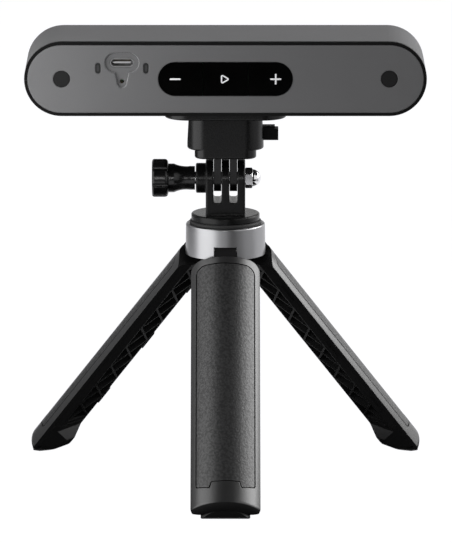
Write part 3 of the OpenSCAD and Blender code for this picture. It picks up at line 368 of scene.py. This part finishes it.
def print_stroke(mesh, path, width, closed):
    """Adds a low rounded stroke of ink along points on a key's face; an open stroke gets round ends."""
    face_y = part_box("play_key")[0].y
    if not closed:
        heading = (path[-1] - path[0]).normalized()
        start_spot = path[0] - heading * width / 2
        ends = [(1 - cos(k * pi / (2 * end_steps))) * width / 2 for k in range(end_steps + 1)]
        swell = [sqrt(max(0, 1 - (1 - 2 * step / width) ** 2)) for step in ends]
        head = [(start_spot + heading * step, share) for step, share in zip(ends, swell)]
        tail = [(path[-1] + path[0] - spot, share) for spot, share in reversed(head)]
        path = head + tail
    else:
        path = [(spot, 1.0) for spot in path]
    rings = []
    for index, (spot, share) in enumerate(path):
        before = path[index - 1][0] if closed or index else spot
        after = path[(index + 1) % len(path)][0] if closed or index < len(path) - 1 else spot
        along = (after - before).normalized()
        across = Vector((along.y, -along.x))
        ring = []
        for side in range(print_sides + 1):
            turn = pi * side / print_sides
            flat = spot + across * (cos(turn) * width / 2 * share)
            ring.append(mesh.verts.new((flat.x, face_y - sin(turn) * print_proud * share, flat.y)))
        rings.append(ring)
    pairs = list(zip(rings, rings[1:] + rings[:1])) if closed else list(zip(rings, rings[1:]))
    for ring, after in pairs:
        for side in range(print_sides):
            mesh.faces.new((ring[side], ring[side + 1], after[side + 1], after[side]))
        mesh.faces.new((ring[print_sides], ring[0], after[0], after[print_sides]))
    bmesh.ops.remove_doubles(mesh, verts=mesh.verts, dist=weld_gap)
    bmesh.ops.recalc_face_normals(mesh, faces=mesh.faces)


def key_middle(key):
    """The middle of a key's cap, as a point on the rear face."""
    low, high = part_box(key)
    return Vector(((low.x + high.x) / 2, (low.z + high.z) / 2))


symbol_w = 0.0042
symbol_stroke = 0.00064
key_pitch = 0.0191
minus_spot = key_middle("play_key") - Vector((key_pitch, 0))
plus_spot = key_middle("play_key") + Vector((key_pitch, 0))
half_bar = Vector((symbol_w / 2 - symbol_stroke / 2, 0))
half_post = Vector((0, symbol_w / 2 - symbol_stroke / 2))

minus_print = bmesh.new()
print_stroke(minus_print, [minus_spot - half_bar, minus_spot + half_bar], symbol_stroke, False)
new_piece("minus_symbol", minus_print, print_white, "minus_button")

plus_print = bmesh.new()
print_stroke(plus_print, [plus_spot - half_bar, plus_spot + half_bar], symbol_stroke, False)
print_stroke(plus_print, [plus_spot - half_post, plus_spot + half_post], symbol_stroke, False)
new_piece("plus_symbol", plus_print, print_white, "plus_button")

play_w = 0.0032
play_h = 0.0036
play_round = 0.0006
play_stroke = 0.00052
corner_steps = 6
play_spot = key_middle("play_key")
corners = [Vector((-play_w / 2, -play_h / 2)), Vector((play_w / 2, 0)), Vector((-play_w / 2, play_h / 2))]
outline = []
for index, corner in enumerate(corners):
    to_last = (corners[index - 1] - corner).normalized()
    to_next = (corners[(index + 1) % len(corners)] - corner).normalized()
    inward = (to_last + to_next).normalized()
    half_angle = to_last.angle(to_next) / 2
    middle = corner + inward * (play_round / sin(half_angle))
    for step in range(corner_steps + 1):
        share = step / corner_steps
        near = to_last * (1 - share) * play_round
        far = to_next * share * play_round
        spoke = (corner + near + far - middle).normalized()
        outline.append(play_spot + middle + spoke * play_round)
play_print = bmesh.new()
print_stroke(play_print, outline, play_stroke, True)
new_piece("play_symbol", play_print, print_white, "play_button")

# Optics: coated cover glasses in the gloss front panel, with black-anodised lens barrels behind them on an
# aluminium bracket. Each camera and the projector has a domed front lens, and each fill light a yellow
# phosphor in its pale holder.
cover_glass, start, skin = new_finish("cover_glass", {"Transmission Weight": 1.0, "IOR": 1.2})
place = start.node("TexCoord", {}, {}, "Object")
film = start.node("TexNoise", {}, {"Vector": place, "Scale": 60.0, "Detail": 1.0})
film.mix((0.74, 0.76, 0.82, 1), (0.78, 0.76, 0.82, 1)).to(skin["Base Color"])
(0.01 + 0.03 * film).to(skin["Roughness"])
dress(cover_glass, "cover_glasses")
barrel_black = metal("barrel_black", colour=(0.06, 0.06, 0.065), rough=0.4,
                     stretch=(4000, 400, 4000), depth=0.000006)
dress(barrel_black, "left_depth_camera", "right_depth_camera", "pattern_projector", "colour_camera")
lamp_white = moulded("lamp_white", level=0.16, rough=0.45, grain=0.0004, depth=0.00001)
dress(lamp_white, "fill_lights")
bracket_aluminium = metal("bracket_aluminium", colour=(0.66, 0.66, 0.67), rough=0.36,
                          stretch=(400, 4000, 4000), depth=0.000006)
dress(bracket_aluminium, "optics_bracket")

# Painted light on the lens: a black pupil painted as the shade of the barrel's inside, and a violet to green
# ring painted as the coating's sheen.
pupil_edge = (0.36, 0.42)
sheen_ring_span = (0.40, 0.90)
black_edge = (0.86, 0.92)
violet_sheen = (0.012, 0.006, 0.034, 1)
green_sheen = (0.005, 0.022, 0.030, 1)
lens_painted_sheen, start, skin = new_finish("lens_painted_sheen", {"IOR": 1.6})
share = start.node("TexCoord", {}, {}, "Generated")
across = start.node("SeparateXYZ", {}, {0: share}, "X") - 0.5
height = start.node("SeparateXYZ", {}, {0: share}, "Z") - 0.5
from_axis = 2 * (across ** 2 + height ** 2) ** 0.5
pupil_shade = 1 - from_axis.between(*pupil_edge)
blacked_edge = from_axis.between(*black_edge)
coating_sheen = from_axis.between(*sheen_ring_span).mix(violet_sheen, green_sheen)
pupil_shade.mix(blacked_edge.mix(coating_sheen, grey(0.004)), grey(0.001)).to(skin["Base Color"])
(0.03 + 0.10 * blacked_edge).to(skin["Roughness"])

dome_rings = 8
dome_sectors = 40
dome_rise = 0.28


def domed_lens(name, middle, radius, material):
    """A lens with a domed front, whose flat back is centred on this point."""
    dome = bmesh.new()
    rise = radius * dome_rise
    top = dome.verts.new(middle + Vector((0, rise, 0)))
    last = None
    for ring in range(1, dome_rings + 1):
        reach = radius * ring / dome_rings
        height = rise * (1 - (ring / dome_rings) ** 2)
        turns = [tau * k / dome_sectors for k in range(dome_sectors)]
        row = [dome.verts.new(middle + Vector((reach * cos(a), height, reach * sin(a)))) for a in turns]
        for k in range(dome_sectors):
            after = (k + 1) % dome_sectors
            if last is None:
                dome.faces.new((top, row[after], row[k]))
            else:
                dome.faces.new((last[k], last[after], row[after], row[k]))
        last = row
    bottom = dome.verts.new(middle)
    for k in range(dome_sectors):
        dome.faces.new((bottom, last[k], last[(k + 1) % dome_sectors]))
    bmesh.ops.recalc_face_normals(dome, faces=dome.faces)
    new_piece(name, dome, material, "head")


lens_inset = 0.00135
lens_radius = {"left_depth": 0.0049, "right_depth": 0.0049, "projector": 0.0059, "colour": 0.0034}
barrels = {"left_depth": "left_depth_camera", "right_depth": "right_depth_camera",
           "projector": "pattern_projector", "colour": "colour_camera"}
for lens, barrel in barrels.items():
    low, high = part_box(barrel)
    seat = Vector(((low.x + high.x) / 2, high.y - lens_inset, (low.z + high.z) / 2))
    domed_lens(lens + "_lens", seat, lens_radius[lens], lens_painted_sheen)

lamp_phosphor, start, skin = new_finish("lamp_phosphor", {"IOR": 1.45})
place = start.node("TexCoord", {}, {}, "Object")
powder = start.node("TexNoise", {}, {"Vector": place, "Scale": 6000.0, "Detail": 2.0})
powder.mix((0.52, 0.40, 0.10, 1), (0.60, 0.48, 0.15, 1)).to(skin["Base Color"])
(0.25 + 0.10 * powder).to(skin["Roughness"])
fill_pitch = 0.008
phosphor_radius = 0.0013
low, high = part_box("fill_lights")
for side, way in (("left", -1), ("right", 1)):
    seat = Vector(((low.x + high.x + way * fill_pitch) / 2, high.y - lens_inset, (low.z + high.z) / 2))
    domed_lens(side + "_fill_phosphor", seat, phosphor_radius, lamp_phosphor)

# Electronics: the main board behind the rear panel, a green glass-fibre sheet whose copper traces stand up
# under the lacquer. Its moulded chips and the three key switches are soldered on.
trace_edge = (0.30, 0.36)
board_green, start, skin = new_finish("board_green", {"Coat Weight": 0.4, "Coat Roughness": 0.2})
place = start.node("TexCoord", {}, {}, "Object")
traces = start.node("TexVoronoi", {"distance": "MANHATTAN"}, {"Vector": place, "Scale": 420.0})
copper = traces.between(*trace_edge)
copper.mix((0.012, 0.075, 0.035, 1), (0.018, 0.11, 0.05, 1)).to(skin["Base Color"])
(0.32 + 0.1 * copper).to(skin["Roughness"])
start.node("Bump", {}, {"Strength": 0.5, "Distance": 0.00002, "Height": copper}).to(skin["Normal"])
dress(board_green, "main_board")
chip_black = moulded("chip_black", level=0.018, rough=0.55, grain=0.00015, depth=0.00001)
dress(chip_black, "board_chips", "key_switches")

# Head mount: a plate screwed under the body, whose spigot drops into the moulded mount block. A spring
# keeps the block's sliding latch in the spigot's groove, and its tab stands out on the right. The spring is
# wound steel wire.
mount_black = moulded("mount_black", level=0.004, rough=0.27, grain=0.00025, depth=0.000006,
                      edge=0.0003, shine=0.35)
dress(mount_black, "mount_plate", "mount_block")
latch_black = moulded("latch_black", level=0.0015, rough=0.5, grain=0.0003, depth=0.000015,
                      edge=0.00025, shine=0.12)
dress(latch_black, "release_latch")

spring_wire = 0.00022
spring_turns = 5
turn_steps = 24
wire_sides = 12
low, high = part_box("latch_spring")
middle = (low + high) / 2
spring_r = (high.y - low.y) / 2 - spring_wire
spring_run = high.x - low.x - 2 * spring_wire
coil = bmesh.new()
rings = []
for step in range(spring_turns * turn_steps + 1):
    turn = tau * step / turn_steps
    outward = Vector((0, cos(turn), sin(turn)))
    along = low.x + spring_wire + spring_run * step / (spring_turns * turn_steps)
    spot = Vector((along, middle.y, middle.z)) + outward * spring_r
    sides = [tau * side / wire_sides for side in range(wire_sides)]
    arms = [outward * cos(angle) + Vector((sin(angle), 0, 0)) for angle in sides]
    rings.append([coil.verts.new(spot + spring_wire * arm) for arm in arms])
for ring, after in zip(rings, rings[1:]):
    for side in range(wire_sides):
        beside = (side + 1) % wire_sides
        coil.faces.new((ring[side], ring[beside], after[beside], after[side]))
coil.faces.new(rings[0])
coil.faces.new(rings[-1])
bmesh.ops.recalc_face_normals(coil, faces=coil.faces)
latch_coil = new_piece("latch_coil", coil, screw_steel, "head")
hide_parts("latch_spring")
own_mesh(latch_coil)

# Tilt hinge: a moulded three-prong fork, a steel bolt through it with a lobed thumb knob on the left, and
# a chromed acorn nut held on the right.
fork_black = moulded("fork_black", level=0.003, rough=0.27, grain=0.00025, depth=0.000006,
                     edge=0.0009, shine=0.25)
dress(fork_black, "lower_fork")
knob_black = moulded("knob_black", level=0.003, rough=0.24, grain=0.0003, depth=0.000006,
                     edge=0.0004, shine=0.5)
dress(knob_black, "thumb_knob")
nut_chrome = metal("nut_chrome", colour=(0.80, 0.80, 0.81), rough=0.09,
                   stretch=(900, 900, 900), depth=0.000003)
dress(nut_chrome, "acorn_nut")

# Tripod head: a turned aluminium collar over the black hub that holds the leg pins, with a rubber pad on
# top. Fine turning rings run round the collar.
collar_aluminium, start, skin = new_finish("collar_aluminium", {"Metallic": 1.0, "Anisotropic": 0.4})
place = start.node("TexCoord", {}, {}, "Object")
height = start.node("SeparateXYZ", {}, {0: place}, "Z")
rings = start.node("TexNoise", {"noise_dimensions": "1D"}, {"W": height, "Scale": 5200.0, "Detail": 3.0})
cloud = start.node("TexNoise", {}, {"Vector": place, "Scale": 120.0, "Detail": 2.0})
broken = start.node("Bevel", {"samples": 4}, {"Radius": 0.0002})
cloud.mix(grey(0.29), grey(0.33)).to(skin["Base Color"])
(0.26 + 0.10 * rings).to(skin["Roughness"])
turned = {"Strength": 0.35, "Distance": 0.000006, "Height": rings, "Normal": broken}
start.node("Bump", {}, turned).to(skin["Normal"])
dress(collar_aluminium, "collar")
hub_black = moulded("hub_black", level=0.010, rough=0.5, grain=0.00025, depth=0.000012)
dress(hub_black, "leg_hub")
pad_rubber = moulded("pad_rubber", level=0.014, rough=0.66, grain=0.0004, depth=0.00003)
dress(pad_rubber, "top_pad")

# Legs: each has a ribbed black core hinged to the hub, a moulded shell over it, a grained grip pad let into
# the shell, and a black foot that stands on a flat sole. The shell's outer face is painted grey; its side
# walls and toe lip, picked by which way they face, get painted shade in a dark, barely shiny black.
core_black = moulded("core_black", level=0.010, rough=0.6, grain=0.00025, depth=0.000012,
                     edge=0.0002, shine=0.05)
foot_rubber = moulded("foot_rubber", level=0.009, rough=0.42, grain=0.0003, depth=0.00002,
                      edge=0.0003, shine=0.3)
column = Vector(joints["head_tilt"]["pos_m"])
leg_lean = radians(40)
side_turn = (0.1, 0.2)
toe_turn = (0.20, 0.32)


def leg_share(start, leg, out_part, toe_part):
    """How far a leg's surface faces one way: so much of outwards from the leg and so much towards its toe."""
    reach = Vector(joints[leg + "_leg_fold"]["pos_m"]) - column
    reach.z = 0
    reach.normalize()
    outward = reach * cos(leg_lean) + Vector((0, 0, sin(leg_lean)))
    toeward = reach * sin(leg_lean) - Vector((0, 0, cos(leg_lean)))
    facing = start.node("TexCoord", {}, {}, "Normal")
    way = outward * out_part + toeward * toe_part
    return start.node("VectorMath", {"operation": "DOT_PRODUCT"}, {0: facing, 1: way}, "Value")


def painted_shade_beside(start, outer):
    """Paints shade on a finish: a dark, barely shiny black wherever the outer face's share is nought."""
    place = start.node("TexCoord", {}, {}, "Object")
    fine = start.node("TexNoise", {}, {"Vector": place, "Scale": 4000.0, "Detail": 3.0})
    tone = fine.mix(grey(0.008), grey(0.012))
    # painted shade: this dark coat, with little gloss, stands in for shade on the faces turned aside
    bare = {"Base Color": tone, "Roughness": 0.55, "Specular IOR Level": 0.04}
    coats = {0: outer, 1: start.node("BsdfPrincipled", {}, bare)}
    coats[2] = Wire(start.tree, start.tree.nodes["Principled BSDF"].outputs[0])
    start.node("MixShader", {}, coats).to(start.tree.nodes["Material Output"].inputs["Surface"])


def shell_paint_and_shade(leg):
    """Satin grey paint on the outer face, with painted shade in dark black on the side walls and toe lip."""
    material, start, skin = new_finish(leg + "_shell_paint_and_shade", {"IOR": plastic_ior, "Specular IOR Level": 0.8})
    place = start.node("TexCoord", {}, {}, "Object")
    broken = start.node("Bevel", {"samples": 4}, {"Radius": 0.0003})
    fine = start.node("TexNoise", {}, {"Vector": place, "Scale": 4000.0, "Detail": 3.0})
    cloud = start.node("TexNoise", {}, {"Vector": place, "Scale": 70.0, "Detail": 2.0})
    (0.6 * fine + 0.4 * cloud).mix(grey(0.011), grey(0.017)).to(skin["Base Color"])
    (0.30 + 0.06 * fine).to(skin["Roughness"])
    raised = {"Strength": 0.5, "Distance": 0.000010, "Height": fine, "Normal": broken}
    start.node("Bump", {}, raised).to(skin["Normal"])
    # painted shade: faces turned to the sides or towards the toe get the dark coat
    toe_lip_shade = leg_share(start, leg, out_part=0, toe_part=1).between(*toe_turn)
    outer_face = leg_share(start, leg, out_part=1, toe_part=0).between(*side_turn)
    painted_shade_beside(start, outer_face * (1 - toe_lip_shade))
    return material


pebble_drift = 0.0008
pebble_lift = (0.62, 1.0)
pebble_polish = (0.5, 1.1)


def grip_grain(leg):
    """Soft black rubber with a pebbled grain on its outer face; its walls, down in the groove, get painted
    shade.
    """
    material, start, skin = new_finish(leg + "_grip_grain", {"IOR": 1.45, "Specular IOR Level": 0.6})
    place = start.node("TexCoord", {}, {}, "Object")
    drift = start.node("TexNoise", {}, {"Vector": place, "Scale": 900.0, "Detail": 2.0}, "Color")
    pushed = {0: drift, 1: (pebble_drift,) * 3, 2: place}
    swirl = start.node("VectorMath", {"operation": "MULTIPLY_ADD"}, pushed)
    pebbles = start.node("TexVoronoi", {"feature": "SMOOTH_F1"}, {"Vector": swirl, "Scale": 1300.0})
    creases = start.node("TexNoise", {}, {"Vector": swirl, "Scale": 1900.0, "Detail": 3.0})
    grain = 1 - pebbles + 0.5 * creases
    cloud = start.node("TexNoise", {}, {"Vector": place, "Scale": 260.0, "Detail": 4.0})
    paler = 0.8 * grain.between(*pebble_lift) + 0.2 * cloud
    paler.mix(grey(0.003), grey(0.026)).to(skin["Base Color"])
    (0.46 - 0.12 * grain.between(*pebble_polish)).to(skin["Roughness"])
    start.node("Bump", {}, {"Strength": 0.7, "Distance": 0.00008, "Height": grain}).to(skin["Normal"])
    # painted shade: the groove walls, turned aside, get the dark coat as a painted shadow gap
    painted_shade_beside(start, leg_share(start, leg, out_part=1, toe_part=0).between(*side_turn))
    return material


for leg in ("front", "right", "left"):
    dress(core_black, leg + "_leg_core")
    dress(shell_paint_and_shade(leg), leg + "_leg_shell")
    dress(grip_grain(leg), leg + "_leg_grip")
    dress(foot_rubber, leg + "_leg_foot")

# Studio: a white floor that keeps a soft shadow, a white surround, two soft boxes on the left, a large one on
# the right, weak ones overhead and in front, and two fills that no reflection shows. Cards that only
# reflections see, black or dim, keep the gloss dark.
scene = bpy.context.scene
scene.view_settings.view_transform = "Standard"


def stage_sheet(name, corners, material):
    """A flat sheet of the studio between four corners."""
    mesh = bmesh.new()
    mesh.faces.new([mesh.verts.new(corner) for corner in corners])
    data = bpy.data.meshes.new(name)
    mesh.to_mesh(data)
    mesh.free()
    data.materials.append(material)
    sheet = bpy.data.objects.new(name, data)
    scene.collection.objects.link(sheet)
    return sheet


def seen_plainly(start):
    """One for rays from the camera, a mirror or a glass, and zero for the light that falls on surfaces."""
    camera_ray = start.node("LightPath", {}, {}, "Is Camera Ray")
    glossy_ray = start.node("LightPath", {}, {}, "Is Glossy Ray")
    clear_ray = start.node("LightPath", {}, {}, "Is Transmission Ray")
    return start.math("MINIMUM", camera_ray + glossy_ray + clear_ray, 1.0)


floor_half = 6.0
floor_drop = -0.0002
floor_glow = 1.13
glow_share = 0.88
floor_white = bpy.data.materials.new("floor_white")
floor_white.use_nodes = True
floor_white.node_tree.nodes.clear()
start = Wire(floor_white.node_tree)
paint = start.node("BsdfDiffuse", {}, {"Color": grey(0.35)})
glow = start.node("Emission", {}, {"Color": grey(1.0), "Strength": floor_glow})
cover = start.node("MixShader", {}, {0: glow_share * seen_plainly(start), 1: paint, 2: glow})
cover.to(floor_white.node_tree.nodes.new("ShaderNodeOutputMaterial").inputs["Surface"])
floor_corners = [(-floor_half, -floor_half, floor_drop), (floor_half, -floor_half, floor_drop),
                 (floor_half, floor_half, floor_drop), (-floor_half, floor_half, floor_drop)]
stage_sheet("floor", floor_corners, floor_white)

world = bpy.data.worlds.new("white_surround")
scene.world = world
world.use_nodes = True
world.node_tree.nodes.clear()
start = Wire(world.node_tree)
ambient = 0.12
level = ambient + (1 - ambient) * seen_plainly(start)
surround = start.node("Background", {}, {"Color": (1, 1, 1, 1), "Strength": level})
surround.to(world.node_tree.nodes.new("ShaderNodeOutputWorld").inputs["Surface"])


def soft_lamp(name, place, width, height, level):
    """A soft box lamp aimed at the hinge, whose level is the share of plain light that it gives there."""
    lamp = bpy.data.lights.new(name, "AREA")
    lamp.shape = "RECTANGLE"
    lamp.size = width
    lamp.size_y = height
    gap = column - Vector(place)
    lamp.energy = level * pi * pi * gap.length_squared
    holder = bpy.data.objects.new(name, lamp)
    holder.location = place
    holder.rotation_euler = gap.to_track_quat("-Z", "Y").to_euler()
    holder.visible_camera = False
    scene.collection.objects.link(holder)
    return holder


soft_lamp("left_low_lamp", place=(-0.21, -0.12, 0.085), width=0.26, height=0.17, level=0.34)
soft_lamp("left_lamp", place=(-0.26, -0.05, 0.30), width=0.26, height=0.34, level=0.35)
soft_lamp("right_lamp", place=(0.554, 0.166, 0.405), width=0.55, height=0.5, level=1.2)
soft_lamp("top_lamp", place=(0.0, 0.20, 1.0), width=0.8, height=0.6, level=0.15)
soft_lamp("front_lamp", place=(0.0, -1.2, 0.30), width=0.25, height=0.12, level=0.07)
front_fill = soft_lamp("front_fill", place=(0.0, -1.2, 0.7), width=1.0, height=0.8, level=0.18)
front_fill.visible_glossy = False
side_fill = soft_lamp("side_fill", place=(-0.12, -0.064, 0.157), width=0.06, height=0.10, level=0.36)
side_fill.visible_glossy = False


def mirror_card(name, corners, level):
    """A card that only reflections see, with so much of the white surround's brightness."""
    paint = bpy.data.materials.new(name)
    paint.use_nodes = True
    paint.node_tree.nodes.clear()
    shine = Wire(paint.node_tree).node("Emission", {}, {"Color": grey(1.0), "Strength": level})
    shine.to(paint.node_tree.nodes.new("ShaderNodeOutputMaterial").inputs["Surface"])
    card = stage_sheet(name, corners, paint)
    card.visible_camera = False
    card.visible_diffuse = False
    card.visible_shadow = False
    card.visible_transmission = False


def flat_card(name, outline, height, level):
    """A mirror card that lies level at this height, over these places on the floor."""
    mirror_card(name, [(x, y, height) for x, y in outline], level)


def upright_card(name, first, second, foot, head, level):
    """A mirror card that stands over the line between two places on the floor, from its foot to its head."""
    corners = [(*first, foot), (*second, foot), (*second, head), (*first, head)]
    mirror_card(name, corners, level)


black_card = 0.003
half_grey_card = 0.45
dim_card = 0.4
mat_height = 0.001
under_height = 0.0005
dark_mat = [(-0.20, -0.59), (0.45, -0.59), (0.75, -1.6), (-0.6, -1.6)]
near_mat = [(0.020, -0.15), (0.15, -0.09), (0.62, -0.50), (0.10, -0.585)]
right_mat = [(0.15, -0.09), (0.20, 0.06), (0.8, 0.0), (0.62, -0.50)]
under_mat = [(-0.09, -0.11), (0.09, -0.11), (0.09, 0.09), (-0.09, 0.09)]
flat_card("dark_mat", dark_mat, mat_height, black_card)
flat_card("near_mat", near_mat, mat_height, black_card)
flat_card("right_mat", right_mat, mat_height, half_grey_card)
flat_card("under_mat", under_mat, under_height, black_card)

ceiling = 1.4
over_card = [(-0.9, -1.6), (0.9, -1.6), (0.9, 0.3), (-0.9, 0.3)]
side_near = (-0.55, 0.06)
side_far = (-0.20, 0.65)
side_band = 0.07
card_head = 0.8
rear_left = (-0.5, 0.6)
rear_right = (0.5, 0.6)
rear_foot = 0.25
upright_card("front_card", over_card[0], over_card[1], 0, ceiling, black_card)
flat_card("over_card", over_card, ceiling, black_card)
upright_card("side_low_card", side_near, side_far, 0, side_band, black_card)
upright_card("side_card", side_near, side_far, side_band, card_head, dim_card)
upright_card("rear_card", rear_left, rear_right, rear_foot, card_head, black_card)

# Camera: behind the object and some 11 degrees above it, as in the photograph, and from well back, so that
# the perspective is long.
camera_aside = 0.0002
camera_back = 2.3695
camera_height = 0.5512
camera_tilt = radians(78.71)
camera = bpy.data.objects.new("camera", bpy.data.cameras.new("camera"))
camera.data.sensor_width = 36.0
camera.data.lens = 415.6
camera.data.clip_end = 50.0
camera.location = (camera_aside, column.y - camera_back, camera_height)
camera.rotation_euler = (camera_tilt, 0, 0)
scene.collection.objects.link(camera)
scene.camera = camera
